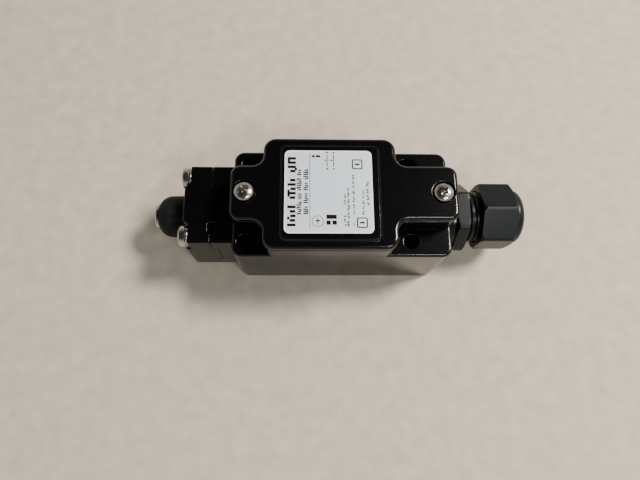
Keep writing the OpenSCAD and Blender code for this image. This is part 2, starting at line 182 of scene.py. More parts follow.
def pillow(low, high, low_edge, high_edge, steps=6):
    """Profile (inset, height) of an upright wall whose lower and upper edges are quarter circles."""
    a = np.linspace(0, math.pi / 2, steps)
    lower = np.column_stack([low_edge * (1 - np.sin(a)), low + low_edge * (1 - np.cos(a))])
    upper = np.column_stack([high_edge * (1 - np.cos(a)), high - high_edge * (1 - np.sin(a))])
    lower = lower if low_edge else lower[:1]
    upper = upper if high_edge else upper[:1]
    return np.vstack([lower, upper])


def carried(corners, profile, axis="Z", steps=8):
    """Loops of a rounded outline carried through a profile of (inset, height) along an axis."""
    loops = []
    for inset, height in profile:
        flat = rounded(corners, inset, steps)
        up = np.full(len(flat), height)
        columns = [flat[:, 0], flat[:, 1], up] if axis == "Z" else [up, flat[:, 0], flat[:, 1]]
        loops.append(np.column_stack(columns))
    return np.array(loops)


def circle_angles(steps):
    """Angles of evenly spaced points round a circle."""
    return np.linspace(0, 2 * math.pi, steps, endpoint=False)


def turned(profile, centre, axis="X", steps=96):
    """Loops of a surface of revolution: each profile point is (radius, distance along the axis)."""
    a = circle_angles(steps)
    radius, along = np.array(profile, float).T
    across = centre[0] + radius[:, None] * np.cos(a)
    up = centre[1] + radius[:, None] * np.sin(a)
    along = np.broadcast_to(along[:, None], across.shape)
    return np.stack([along, across, up] if axis == "X" else [across, up, along], axis=-1)


def ellipse_arc(centre, radii, start, end, steps=12):
    """Points of an ellipse's arc between two angles in degrees."""
    a = np.radians(np.linspace(start, end, steps))
    return np.column_stack([centre[0] + radii[0] * np.cos(a), centre[1] + radii[1] * np.sin(a)])


def placed(name, data):
    """New object in the scene that holds some data."""
    made = bpy.data.objects.new(name, data)
    bpy.context.scene.collection.objects.link(made)
    return made


def solid(loops, closed=False):
    """Closed object from loops: quads between neighbours, then flat ends, or a ring where closed."""
    rows, count = loops.shape[:2]
    index = np.arange(rows * count).reshape(rows, count)
    here = index if closed else index[:-1]
    there = np.roll(index, -1, axis=0) if closed else index[1:]
    quads = np.stack([here, np.roll(here, -1, 1), np.roll(there, -1, 1), there], axis=-1)
    faces = quads.reshape(-1, 4).tolist()
    if not closed:
        faces += [index[0].tolist(), index[-1].tolist()]
    mesh = bpy.data.meshes.new("solid")
    mesh.from_pydata((loops.reshape(-1, 3) * MM).tolist(), [], faces)
    tidy(mesh)
    return placed("solid", mesh)


def tidy(mesh):
    """Merges points that meet and turns the faces outwards."""
    work = bmesh.new()
    work.from_mesh(mesh)
    bmesh.ops.remove_doubles(work, verts=work.verts, dist=WELD)
    bmesh.ops.recalc_face_normals(work, faces=work.faces)
    work.to_mesh(mesh)
    work.free()


def settle(thing):
    """Replaces an object's mesh by what its modifiers make of it."""
    graph = bpy.context.evaluated_depsgraph_get()
    old = thing.data
    thing.data = bpy.data.meshes.new_from_object(thing.evaluated_get(graph))
    thing.modifiers.clear()
    bpy.data.meshes.remove(old)


def shaped(base, add=(), cut=()):
    """Joins solids to a base and takes others away, one exact boolean after another."""
    for other, operation in [(o, "UNION") for o in add] + [(o, "DIFFERENCE") for o in cut]:
        step = base.modifiers.new("shape", "BOOLEAN")
        step.operation = operation
        step.solver = "EXACT"
        step.object = other
        settle(base)
        mesh = other.data
        bpy.data.objects.remove(other)
        bpy.data.meshes.remove(mesh)
    return base


def joined(parts, matrices=(Matrix(),)):
    """One object from several, with a copy of all of them at each matrix (in millimetres)."""
    work = bmesh.new()
    for part in parts:
        for matrix in matrices:
            copy = part.data.copy()
            place = matrix.copy()
            place.translation *= MM
            copy.transform(place)
            work.from_mesh(copy)
            bpy.data.meshes.remove(copy)
    mesh = bpy.data.meshes.new("joined")
    work.to_mesh(mesh)
    work.free()
    for part in parts:
        bpy.data.objects.remove(part)
    return placed("joined", mesh)


def piece(thing, name, node, materials, smooth_degrees=32.0, weighted=True):
    """Names a finished piece, gives it its finishes, shades it, hides its CAD node and ties it to that
    node's body.
    """
    thing.name = name
    thing.data.name = name
    thing.data.materials.clear()
    for material in materials:
        thing.data.materials.append(material)
    thing.data.shade_smooth()
    thing.data.set_sharp_from_angle(angle=math.radians(smooth_degrees))
    if weighted:
        normals = thing.modifiers.new("even normals", "WEIGHTED_NORMAL")
        normals.mode = "FACE_AREA"
        normals.keep_sharp = True
        normals.weight = 50
    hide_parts(node)
    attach(thing, BODY_OF[node])


# ---------------------------------------------------------------- finishes


class Finish:
    """A node material under construction, with short calls for the nodes it uses."""

    def __init__(self, name):
        self.material = bpy.data.materials.new(name)
        self.material.use_nodes = True
        self.tree = self.material.node_tree
        self.shader = self.tree.nodes["Principled BSDF"]
        self.place = self.tree.nodes.new("ShaderNodeTexCoord").outputs["Object"]

    def node(self, kind, **inputs):
        """A node of a kind, with its sockets set or linked by name."""
        made = self.tree.nodes.new(kind)
        for key, value in inputs.items():
            self.feed(made.inputs[key.replace("_", " ")], value)
        return made

    def feed(self, socket, value):
        """Links an output to a socket, or sets the socket's value."""
        if isinstance(value, bpy.types.NodeSocket):
            self.tree.links.new(value, socket)
        else:
            socket.default_value = value

    def noise(self, size, detail=3.0):
        """Fractal noise whose largest grains are about size millimetres, from 0 to 1."""
        made = self.node("ShaderNodeTexNoise", Vector=self.place, Scale=1.0 / (size * MM),
                         Detail=detail, Roughness=0.55)
        return made.outputs["Fac"]

    def ramp(self, source, low, high, to_low=0.0, to_high=1.0):
        """Maps a value's stretch between low and high to another, held at the ends."""
        made = self.node("ShaderNodeMapRange", Value=source)
        made.inputs["From Min"].default_value = low
        made.inputs["From Max"].default_value = high
        made.inputs["To Min"].default_value = to_low
        made.inputs["To Max"].default_value = to_high
        return made.outputs["Result"]

    def mix(self, share, first, second):
        """Colour between two, by a share."""
        made = self.tree.nodes.new("ShaderNodeMix")
        made.data_type = "RGBA"
        self.feed(made.inputs["Factor"], share)
        colour_inputs = [s for s in made.inputs if s.type == "RGBA"]
        self.feed(colour_inputs[0], first)
        self.feed(colour_inputs[1], second)
        return [s for s in made.outputs if s.type == "RGBA"][0]

    def bump(self, height, distance):
        """Normal for a height from 0 to 1 that stands distance millimetres tall."""
        made = self.node("ShaderNodeBump", Height=height, Distance=distance * MM, Strength=1.0)
        return made.outputs["Normal"]

    def times(self, first, second):
        """Product of two values."""
        made = self.tree.nodes.new("ShaderNodeMath")
        made.operation = "MULTIPLY"
        self.feed(made.inputs[0], first)
        self.feed(made.inputs[1], second)
        return made.outputs[0]

    def set(self, **inputs):
        """Sets or links the shader's sockets by name and returns the material."""
        for key, value in inputs.items():
            self.feed(self.shader.inputs[key.replace("_", " ")], value)
        return self.material


def shade(rgb, factor):
    """A colour times a factor, with full opacity."""
    return (rgb[0] * factor, rgb[1] * factor, rgb[2] * factor, 1.0)


def enamel(rgb):
    """Glossy baked enamel: faint orange peel, dust in the gloss and a few pale specks."""
    make = Finish("black enamel")
    peel = make.noise(1.6, detail=2.0)
    dust = make.noise(0.35, detail=4.0)
    specks = make.ramp(make.noise(0.5, detail=1.0), 0.78, 0.83)
    base = make.mix(make.ramp(dust, 0.4, 0.75), shade(rgb, 0.8), shade(rgb, 2.2))
    base = make.mix(make.times(specks, 0.35), base, (0.25, 0.24, 0.22, 1.0))
    return make.set(
        Base_Color=base,
        Roughness=make.ramp(dust, 0.3, 0.8, 0.10, 0.24),
        Normal=make.bump(peel, 0.012),
        IOR=1.42,
    )


def moulded(name, rgb, low=0.32, high=0.5, grain=0.25, height=0.004, ior=1.45):
    """Moulded plastic: satin, finely grained, with slow changes of tone."""
    make = Finish(name)
    tone = make.noise(6.0)
    fine = make.noise(grain)
    return make.set(
        Base_Color=make.mix(tone, shade(rgb, 0.8), shade(rgb, 1.25)),
        Roughness=make.ramp(fine, 0.3, 0.75, low, high),
        Normal=make.bump(fine, height),
        IOR=ior,
    )


def rubbery(name, rgb):
    """Matte rubber with a dusty bloom."""
    make = Finish(name)
    bloom = make.ramp(make.noise(2.5, detail=5.0), 0.45, 0.8)
    grain = make.noise(0.18, detail=2.0)
    return make.set(
        Base_Color=make.mix(bloom, shade(rgb, 0.9), shade(rgb, 2.6)),
        Roughness=make.ramp(grain, 0.2, 0.8, 0.55, 0.75),
        Normal=make.bump(grain, 0.008),
        Specular_IOR_Level=0.2,
    )


def metal(name, rgb, low=0.13, high=0.3, stain=0.6):
    """Bare metal: fine grain in the gloss, with a slight stain in the hollows of a slower noise."""
    make = Finish(name)
    tone = make.noise(1.4, detail=4.0)
    grain = make.noise(0.15)
    return make.set(
        Base_Color=make.mix(make.ramp(tone, 0.35, 0.7), shade(rgb, stain), shade(rgb, 1.1)),
        Metallic=1.0,
        Roughness=make.ramp(grain, 0.25, 0.75, low, high),
        Normal=make.bump(grain, 0.003),
    )


def foil(rgb):
    """Satin silver-grey label foil."""
    make = Finish("label foil")
    tone = make.noise(5.0)
    fine = make.noise(0.12, detail=2.0)
    return make.set(
        Base_Color=make.mix(tone, shade(rgb, 0.96), shade(rgb, 1.04)),
        Metallic=0.25,
        Roughness=make.ramp(fine, 0.3, 0.7, 0.34, 0.46),
        Normal=make.bump(fine, 0.001),
    )


FINISHES = {}


def finishes():
    """The scene's materials, made once: those of the record's slots, then those of details."""
    if FINISHES:
        return FINISHES
    tint = bpy.context.scene.switch_colours
    FINISHES.update(
        black_enamel=enamel(tint.enamel),
        gland_nylon=moulded("gland nylon", tint.nylon, 0.26, 0.42, ior=1.28),
        boot_rubber=rubbery("boot rubber", tint.rubber),
        seal_rubber=rubbery("seal rubber", tint.rubber),
        stainless=metal("stainless", tint.steel),
        zinc_plated=metal("zinc plate", (0.66, 0.68, 0.70), stain=0.8),
        spring_steel=metal("spring steel", (0.42, 0.42, 0.43), stain=0.7),
        bronze=metal("bronze", (0.55, 0.36, 0.16), 0.3, 0.5),
        contact_brass=metal("contact brass", (0.72, 0.55, 0.24), stain=0.75),
        dark_moulding=moulded("dark moulding", (0.03, 0.028, 0.025)),
        cream_moulding=moulded("cream moulding", (0.68, 0.63, 0.52)),
        label_foil=foil(tint.foil),
        label_border=moulded("label border", tint.border, 0.35, 0.5),
        ink=moulded("ink", tint.ink, 0.6, 0.75, ior=1.2),
        grey_ink=moulded("grey ink", (0.10, 0.10, 0.11), 0.6, 0.75),
    )
    return FINISHES


# ---------------------------------------------------------------- housing, cover and head

LEDGE = 0.3                # the wall at the plunger end stands this far outside the rim's tongue
RIM_OVER = 0.2             # the rim's wide middle stands this far outside the housing's long walls
TONGUE_OVER = 0.5          # the rim's tongue reaches this far past the ears at the gland end
RIM_HALF_LENGTH = 23.8     # half length of the rim's wide middle
TONGUE_HALF = 10.2         # half width of the rim's two tongues
HOLE_SPACING = (60.0, 30.0)
HOLE_RADIUS = 2.65
SLOT_REACH = 1.0           # each slot's ends lie this far from its middle
REAR_WALL = 4.0            # thickness of the wall behind the rooms
ROOM_HALF = (21.0, 17.2)   # half sizes of the contact room
ROOM_CORNER = 3.0
CABLE_ROOM = (36.0, 7.6)   # end and half width of the way from the room to the gland
BOSS_RADIUS = 12.5
GLAND_BORE = 10.05
GLAND_BORE_START = 35.0
PLUNGER_BORE = 5.5
PLUNGER_BORE_END = -28.0
STEM_BORE = 3.5            # narrower bore that opens into the room
STEM_BORE_END = -20.0
PANEL_X = (-17.8, 17.8)    # foot of the cover's raised panel
PANEL_Y = (-18.3, 17.7)
PANEL_HEIGHT = 0.8
SKIRT_HALF = (20.6, 16.8)  # half sizes of the cover's skirt, and of the hollow in it
HOLLOW_HALF = (19.2, 15.4)
COUNTERBORE = 4.1          # radius and depth of the cover screws' recesses
COUNTERBORE_DEPTH = 1.2
SCREW_HOLE = 2.2
KEY_HALF = 6.7             # half width of the key's arms
KEY_DEPTH = 2.0
SEAT_RADIUS = 4.9          # corner cuts round the two upper head screws
SUNK_RADIUS = 4.3          # round holes that hide the two lower ones
SUNK_AT = 10.6             # distance of the lower screws from the plunger's axis, each way
BOOT_RECESS = 8.8
BOOT_RECESS_DEPTH = 2.0
HEAD_BORE = 5.0
POCKET_X = (-1.1, 1.9)     # pocket across the joint, from the neck's start
POCKET_Y = (-11.4, -6.9)
POCKET_DEPTH = 0.8
PAN_RADIUS = 4.0           # heads of the head screws
COVER_PAN = (3.6, 2.4)     # radius and height of the cover screws' heads
SCREW_SHANK = 2.0
WASHER_THICKNESS = 1.0
WASHER_RADII = (2.1, 3.8)
OVER = 0.6                 # cutters run this far past the faces they cut


def cross_corners():
    """Corners of the rim's and cover's outline: a wide middle between two tongues."""
    left, right, low, high = COVER_LOW[0], COVER_HIGH[0], COVER_LOW[1], COVER_HIGH[1]
    wide, arm = RIM_HALF_LENGTH, TONGUE_HALF
    end, outer, inner = 3.6, 4.5, 4.0      # radii of the tongues' ends, outer and hollow corners
    return [
        (left, -arm, end), (-wide, -arm, inner), (-wide, low, outer), (wide, low, outer),
        (wide, -arm, inner), (right, -arm, end), (right, arm, end), (wide, arm, inner),
        (wide, high, outer), (-wide, high, outer), (-wide, arm, inner), (left, arm, end),
    ]


def flared_hole(x, y, top, bottom, reach=0.0, flare=0.35):
    """Cutter for an upright hole or slot with softly rounded rims."""
    r = HOLE_RADIUS + flare
    outline = rectangle((x - reach - r, x + reach + r), (y - r, y + r), r - 1e-4)
    a = np.linspace(0, math.pi / 2, 5)
    rim = np.column_stack([flare * np.sin(a), top - flare * (1 - np.cos(a))])
    foot = np.column_stack([flare * np.cos(a), bottom + flare * (1 - np.sin(a))])
    profile = np.vstack([[(0, top + OVER)], rim, foot, [(0, bottom - OVER)]])
    return solid(carried(outline, profile, steps=14))


def key_solids(start, end, gap, edge):
    """The two crossing bars of the head's key, grown by a gap."""
    arm, half = KEY_HALF + gap, HEAD_HALF + (OVER if gap else 0.0)
    z = PLUNGER_Z
    profile = pillow(start, end, 0.0, edge, 3)
    return [
        solid(carried(rectangle((-half, half), (z - arm, z + arm), edge + 0.05), profile, "X", 3)),
        solid(carried(rectangle((-arm, arm), (z - half, z + half), edge + 0.05), profile, "X", 3)),
    ]


def pocket_cutter():
    """Cutter for the small pocket across the joint, on top of the head and the neck."""
    top = HEAD_HIGH[2]
    outline = rectangle([NECK_START + x for x in POCKET_X], POCKET_Y, 0.4)
    a = np.linspace(0, math.pi / 2, 5)
    rim = np.column_stack([0.25 * (np.sin(a) - 1), top - 0.25 * (1 - np.cos(a))])
    foot = [(0.0, top - POCKET_DEPTH + 0.2), (0.2, top - POCKET_DEPTH)]
    profile = np.vstack([[(-0.25, top + OVER)], rim, foot])
    return solid(carried(outline, profile, steps=5))


def build_housing(sizes):
    """Cast housing: rounded body, rim, neck and boss, with its room, bores and mounting holes."""
    ear, corner, edge = sizes.ear_height / MM, sizes.body_corner / MM, sizes.body_edge / MM
    gap = sizes.joint_gap / MM
    x = (COVER_LOW[0] - LEDGE, COVER_HIGH[0] - TONGUE_OVER)
    y = (HOUSING_LOW[1] + RIM_OVER, HOUSING_HIGH[1] - RIM_OVER)
    top = HOUSING_HIGH[2]
    z = PLUNGER_Z
    body = solid(carried(rectangle(x, y, corner), pillow(0.0, ear, 0.4, edge), steps=12))
    rim = solid(carried(cross_corners(), pillow(ear - 0.2, top, 0.6, 0.35, 6), steps=12))
    square = rectangle((-HEAD_HALF, HEAD_HALF), (z - HEAD_HALF, z + HEAD_HALF), sizes.head_edge / MM)
    neck = solid(carried(square, pillow(NECK_START + gap / 2, x[0] + 6.0, 0.15, 0.0), "X", 5))
    boss = solid(turned([(BOSS_RADIUS, x[1] - 4.0), (BOSS_RADIUS, HOUSING_HIGH[0] - 0.5),
                         (BOSS_RADIUS - 0.5, HOUSING_HIGH[0])], (0.0, GLAND_Z)))
    depth = [(0.0, REAR_WALL), (0.0, top + OVER)]
    room = solid(carried(centred(*ROOM_HALF, ROOM_CORNER), depth, steps=5))
    end, half = CABLE_ROOM
    cable_room = solid(carried(rectangle((0.0, end), (-half, half), 0.5), depth, steps=3))
    bore = solid(turned([(PLUNGER_BORE, NECK_START - OVER), (PLUNGER_BORE, PLUNGER_BORE_END),
                         (STEM_BORE, PLUNGER_BORE_END), (STEM_BORE, STEM_BORE_END)], (0.0, z), steps=48))
    gland_bore = solid(turned([(GLAND_BORE, GLAND_BORE_START), (GLAND_BORE, HOUSING_HIGH[0] + OVER)],
                              (0.0, GLAND_Z)))
    dx, dy = HOLE_SPACING[0] / 2, HOLE_SPACING[1] / 2
    holes = [flared_hole(s * dx, -s * dy, ear, 0.0) for s in (-1, 1)]
    holes += [flared_hole(s * dx, s * dy, ear, 0.0, SLOT_REACH) for s in (-1, 1)]
    keys = key_solids(NECK_START - OVER, NECK_START + KEY_DEPTH + gap, gap, 0.0)
    shaped(body, [rim, neck, boss], [room, cable_room, bore, gland_bore, *holes, *keys, pocket_cutter()])
    piece(body, "housing_shell", "housing", [finishes()["black_enamel"]])


def build_cover(sizes):
    """Cover plate with a soft upper edge, a raised panel with a sloping border, and screw recesses."""
    low, panel_top = COVER_LOW[2], COVER_HIGH[2]
    plate_low, top = GASKET_HIGH[2], panel_top - PANEL_HEIGHT
    slope, edge = sizes.panel_slope / MM, sizes.cover_edge / MM
    plate = solid(carried(cross_corners(), pillow(plate_low, top, 0.3, edge, 9), steps=12))
    t = np.linspace(0.03, 0.97, 9)
    rise = np.column_stack([slope * t, top + (panel_top - top) * (3 * t**2 - 2 * t**3)])
    profile = np.vstack([[(0.0, top - OVER)], rise, [(slope, panel_top)]])
    panel = solid(carried(rectangle(PANEL_X, PANEL_Y, 2.4), profile, steps=10))
    skirt = solid(carried(centred(*SKIRT_HALF, 2.6), [(0.0, low), (0.0, plate_low + OVER)], steps=5))
    hollow = solid(carried(centred(*HOLLOW_HALF, 1.2), [(0.0, low - OVER), (0.0, plate_low)], steps=5))
    flare, seat = 0.35, top - COUNTERBORE_DEPTH
    rim = ellipse_arc((COUNTERBORE + flare, top - flare), (flare, flare), 90, 180, 6)
    profile = np.vstack([[(COUNTERBORE + flare, top + OVER)], rim,
                         [(COUNTERBORE, seat), (SCREW_HOLE, seat), (SCREW_HOLE, low)]])
    recesses = [solid(turned(profile, (x, 0.0), "Z")) for x in cover_screw_places()]
    shaped(plate, [panel, skirt], [hollow, *recesses])
    piece(plate, "cover_plate", "cover", [finishes()["black_enamel"]])


def build_gasket(_sizes):
    """Gasket strip whose outer side bulges as a half ellipse between the cover and the rim."""
    low, high = GASKET_LOW[2], GASKET_HIGH[2]
    inset, bulge, width = 0.45, 0.3, 2.4
    a = np.linspace(0, math.pi, 7)
    outer = np.column_stack([inset - bulge * np.sin(a), low + (high - low) * (1 - np.cos(a)) / 2])
    ring = carried(cross_corners(), outer, steps=12)
    inner = carried(cross_corners(), [(width, high), (width, low)], steps=12)
    gasket = solid(np.concatenate([ring, inner]), closed=True)
    piece(gasket, "gasket_strip", "cover_gasket", [finishes()["seal_rubber"]], weighted=False)


def build_head(sizes):
    """Square head with a cross-shaped key, seats for its screws and a recess for the boot."""
    z, half = PLUNGER_Z, HEAD_HALF
    start, gap, edge = HEAD_LOW[0], sizes.joint_gap / MM, sizes.head_edge / MM
    square = rectangle((-half, half), (z - half, z + half), edge)
    block = solid(carried(square, pillow(start, NECK_START - gap / 2, edge - 0.05, 0.15), "X", 5))
    keys = key_solids(NECK_START - 3.0, NECK_START + KEY_DEPTH, 0.0, 0.15)
    near, far = head_screw_offset() - SEAT_RADIUS, half + OVER
    seats = []
    for side in (-1, 1):
        y, up = sorted((side * near, side * far)), (z + near, z + far)
        corners = [[y[0], up[0], 0.3], [y[1], up[0], 0.3], [y[1], up[1], 0.3], [y[0], up[1], 0.3]]
        corners[side < 0][2] = SEAT_RADIUS
        depth = [(0.0, start - OVER), (0.0, WASHERS_LOW[0] + WASHER_THICKNESS)]
        seats.append(solid(carried(corners, depth, "X", 16)))
        hole = [(SUNK_RADIUS + 0.3, start - OVER), (SUNK_RADIUS + 0.3, start), (SUNK_RADIUS, start + 0.3),
                (SUNK_RADIUS, WASHERS_HIGH[0])]
        seats.append(solid(turned(hole, (side * SUNK_AT, z - SUNK_AT), steps=64)))
    bottom = start + BOOT_RECESS_DEPTH
    recess = solid(turned([(BOOT_RECESS + 0.3, start - OVER), (BOOT_RECESS + 0.3, start),
                           (BOOT_RECESS, start + 0.3), (BOOT_RECESS, bottom), (HEAD_BORE, bottom),
                           (HEAD_BORE, NECK_START + KEY_DEPTH + OVER)], (0.0, z)))
    shaped(block, keys, [*seats, recess, pocket_cutter()])
    piece(block, "head_block", "head", [finishes()["black_enamel"]])


# ---------------------------------------------------------------- screws and washers


def cover_screw_places():
    """X of the two cover screws."""
    return (COVER_SCREWS_LOW[0] + COVER_PAN[0], COVER_SCREWS_HIGH[0] - COVER_PAN[0])


def pan_screw(head_radius, head_height, shank_length, dome):
    """Screw pointing down from its seat at z = 0, with a domed head and a cross recess.

    The head's side rises to an edge, and an elliptical dome closes it. The recess is two crossed
    bars and a cone, all narrower at the bottom.
    """
    side = head_height - dome
    profile = np.vstack([
        [(SCREW_SHANK, -shank_length), (SCREW_SHANK, 0.0)],
        [(head_radius - 0.15, 0.0), (head_radius, 0.15)],
        ellipse_arc((0.25, side), (head_radius - 0.25, dome), 0, 90, 14),
    ])
    screw = solid(turned(profile, (0.0, 0.0), "Z", 64))
    reach, width, bottom = head_radius * 0.54, head_radius * 0.105, head_height * 0.35
    slope = [(0.0, head_height + OVER), (width * 0.55, bottom)]
    slots = [solid(carried(centred(x, y, width * 0.7), slope, steps=5))
             for x, y in ((reach, width), (width, reach))]
    cone = [(reach * 0.66, head_height + 0.2), (width * 1.1, bottom - 0.3)]
    return shaped(screw, cut=[*slots, solid(turned(cone, (0.0, 0.0), "Z", 24))])


def build_cover_screws(_sizes):
    """Two pan screws that hold the cover."""
    seat = COVER_SCREWS_HIGH[2] - COVER_PAN[1]
    screw = pan_screw(*COVER_PAN, seat - COVER_SCREWS_LOW[2], 1.7)
    turns = (math.radians(28), math.radians(52))
    places = [Matrix.Translation((x, 0.0, seat)) @ Matrix.Rotation(turn, 4, "Z")
              for x, turn in zip(cover_screw_places(), turns)]
    piece(joined([screw], places), "cover_screw_pair", "cover_screws", [finishes()["stainless"]])


def head_screw_offset():
    """Distance of the upper head screws from the plunger's axis, each way."""
    return (HEAD_SCREWS_HIGH[1] - HEAD_SCREWS_LOW[1]) / 2 - PAN_RADIUS


def head_screw_places(lift):
    """Matrices of the four head screws, pointing along +X from a lift above each one's seat."""
    upper, lower = WASHERS_LOW[0] + WASHER_THICKNESS - lift, WASHERS_HIGH[0] - lift
    at = head_screw_offset()
    places = []
    for number, (x, y, z) in enumerate([(upper, -at, at), (upper, at, at),
                                        (lower, -SUNK_AT, -SUNK_AT), (lower, SUNK_AT, -SUNK_AT)]):
        point = Matrix.Translation((x, y, PLUNGER_Z + z))
        turn = Matrix.Rotation(math.radians(17 + 37 * number), 4, "Z")
        places.append(point @ Matrix.Rotation(math.radians(-90), 4, "Y") @ turn)
    return places


def build_head_screws(_sizes):
    """Four pan screws that hold the head."""
    seat = WASHERS_LOW[0]
    shank = HEAD_SCREWS_HIGH[0] - (WASHERS_HIGH[0] - WASHER_THICKNESS)
    screw = pan_screw(PAN_RADIUS, seat - HEAD_SCREWS_LOW[0], shank, 1.3)
    piece(joined([screw], head_screw_places(WASHER_THICKNESS)), "head_screw_set", "head_screws",
          [finishes()["stainless"]])


def build_washers(_sizes):
    """Four spring washers: a rounded section carried almost a full turn, with slanting ends."""
    section = rounded(rectangle(WASHER_RADII, (0.0, WASHER_THICKNESS), 0.25), steps=4)
    a = np.linspace(math.radians(5), math.radians(355), 80)
    lean = 0.15 * (section[:, 1] / WASHER_THICKNESS - 0.5)
    turn = a[:, None] + lean[None, :]
    loops = np.stack([section[:, 0] * np.cos(turn), section[:, 0] * np.sin(turn),
                      np.broadcast_to(section[:, 1], turn.shape)], axis=-1)
    washers = joined([solid(loops)], head_screw_places(0.0))
    piece(washers, "head_washer_set", "head_washers", [finishes()["stainless"]])


# ---------------------------------------------------------------- plunger, boot and springs


def build_plunger(_sizes):
    """Steel plunger: a low dome on a wide tip, then a stem with a groove for its clip."""
    tip, rim = PLUNGER_LOW[0], PLUNGER_HIGH[1]
    stem, groove, end = 3.0, 2.5, PLUNGER_HIGH[0]
    clip_low, clip_high = limits("plunger_clip")
    groove_start, groove_end = clip_low[0] - 0.05, clip_high[0] + 0.05
    back, dome = tip + 2.1, 1.4
    profile = np.vstack([
        ellipse_arc((0.0, tip + dome), (rim, -dome), 88, 0, 20),
        [(rim, back), (stem, back),
         (stem, groove_start), (groove, groove_start), (groove, groove_end),
         (stem, groove_end), (stem, end - 0.4), (stem - 0.4, end)],
    ])
    plunger = solid(turned(profile, (0.0, PLUNGER_Z)))
    piece(plunger, "plunger_rod", "plunger", [finishes()["stainless"]])


def build_boot(_sizes):
    """Rubber boot: a thin wall whose outside is a quarter ellipse that runs into a slight cone."""
    face, flange_end, rim = BOOT_LOW[0], BOOT_HIGH[0], BOOT_HIGH[1]
    bend, wall, mouth = face + 5.1, 1.2, 3.05
    head_face = HEAD_LOW[0]
    outer = ellipse_arc((4.1, bend), (4.1, face - bend), 90, 0, 16)
    inner = ellipse_arc((3.2, bend), (3.8, face + wall - bend), 0, 90, 12)
    profile = np.vstack([
        [(mouth, face + 0.2), (mouth + 0.2, face)],
        outer,
        [(rim - 0.25, head_face - 0.15), (rim - 0.05, head_face)],
        [(rim, flange_end - 0.1), (7.2, flange_end)],
        inner,
        [(mouth, face + wall)],
    ])
    boot = solid(turned(profile, (0.0, PLUNGER_Z)), closed=True)
    piece(boot, "boot_dome", "boot", [finishes()["boot_rubber"]], 50.0, weighted=False)
    shorten(boot)


def shorten(thing):
    """Gives a piece its own copy of its mesh."""
    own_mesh(thing)


def coil(start, end, radius, wire, turns):
    """Coil spring along the plunger's axis: a small circle carried round a helix."""
    u = np.linspace(0, 1, int(turns * 28))[:, None]
    v = circle_angles(8)[None, :]
    a = 2 * math.pi * turns * u
    reach = radius + wire * np.cos(v)
    along = start + wire + (end - start - 2 * wire) * u + wire * np.sin(v)
    return solid(np.stack([along, reach * np.cos(a), PLUNGER_Z + reach * np.sin(a)], axis=-1))


def build_springs(_sizes):
    """Return springs of the plunger and the carrier, and the two small contact springs."""
    steel = [finishes()["spring_steel"]]
    # node, piece, joint, radius of the coil and radius of its wire
    for node, name, joint, radius, wire in (
        ("plunger_spring", "plunger_coil", "plunger_press", 4.2, 0.35),
        ("carrier_spring", "carrier_coil", "carrier_travel", 3.0, 0.3),
    ):
        low, high = limits(node)
        spring = coil(low[0], high[0], radius, wire, 6)
        piece(spring, name, node, steel, weighted=False)
        shorten(spring)
    low, high = limits("contact_springs")
    spans = [(low[0], low[0] + 3.95), (high[0] - 4.15, high[0])]
    pair = [coil(*span, 1.35, 0.2, 4) for span in spans]
    piece(joined(pair), "contact_coils", "contact_springs", steel, weighted=False)


# ---------------------------------------------------------------- cable gland

ROUND_STEPS = 144          # points round the gland's surfaces, with one at each hexagon corner
HEXAGON_LENGTH = 4.5
HEXAGON_FLATS = 24.0
HEXAGON_TURN = math.radians(6.0)
NUT_FLATS = 23.6
NUT_TURN = math.radians(31.5)
NUT_DOME = 3.4             # length of the nut's domed end
SEAL_RADIUS = 8.0          # bore for the rubber insert
CABLE_RADIUS = 6.5         # bore behind it
SEAL_STEP = 57.0           # X where one bore meets the other
GLAND_SHANK = 9.97         # radius of the shank in the housing's thread
THREAD_ROOT = 9.1
THREAD_STEP = 0.09         # distance between the thread's rows
CORNER_LOSS = 0.12         # taken off a hexagon's corners
MOUTH = 6.2                # radius of the nut's mouth
NUT_BORE = 10.1


def hexagon_radius(angle, across_flats, first_corner):
    """Distance from the axis to a hexagon's side in each direction, a little less at the corners."""
    local = np.mod(angle - first_corner, math.pi / 3) - math.pi / 6
    return np.minimum(across_flats / 2 / np.cos(local), across_flats / math.sqrt(3) - CORNER_LOSS)


def wrapped(along, radius, angle):
    """Loops about the gland's axis from the distance along it and the radius in each direction."""
    along = np.broadcast_to(np.reshape(along, (-1, 1)), radius.shape)
    return np.stack([along, radius * np.cos(angle), GLAND_Z + radius * np.sin(angle)], axis=-1)


def even_rows(points, angle):
    """Loops of plain circles for profile points (radius, distance)."""
    points = np.array(points, float)
    return wrapped(points[:, 1], np.repeat(points[:, :1], len(angle), axis=1), angle)


def hexagon_rows(along, envelope, across_flats, first_corner, angle):
    """Loops of a hexagon whose corners are turned down to an envelope radius at each distance."""
    side = hexagon_radius(angle, across_flats, first_corner)
    return wrapped(along, np.minimum(side[None, :], np.reshape(envelope, (-1, 1))), angle)


def thread_rows(start, end, sizes, angle):
    """Loops of a helical thread: each tooth rises and falls by a smooth trapezoid of the helix phase."""
    pitch, depth = sizes.thread_pitch / MM, sizes.thread_depth / MM
    along = np.arange(start, end, THREAD_STEP)
    phase = np.mod((along[:, None] - start) / pitch - angle[None, :] / (2 * math.pi), 1.0)
    tooth = np.clip(1.55 - 4.6 * abs(phase - 0.5), 0.0, 1.0)
    tooth = tooth * tooth * (3 - 2 * tooth)
    fade = np.clip((along - start) / 0.6, 0, 1) * np.clip((end - along) / 0.8, 0, 1)
    return wrapped(along, THREAD_ROOT + depth * tooth * fade[:, None], angle)


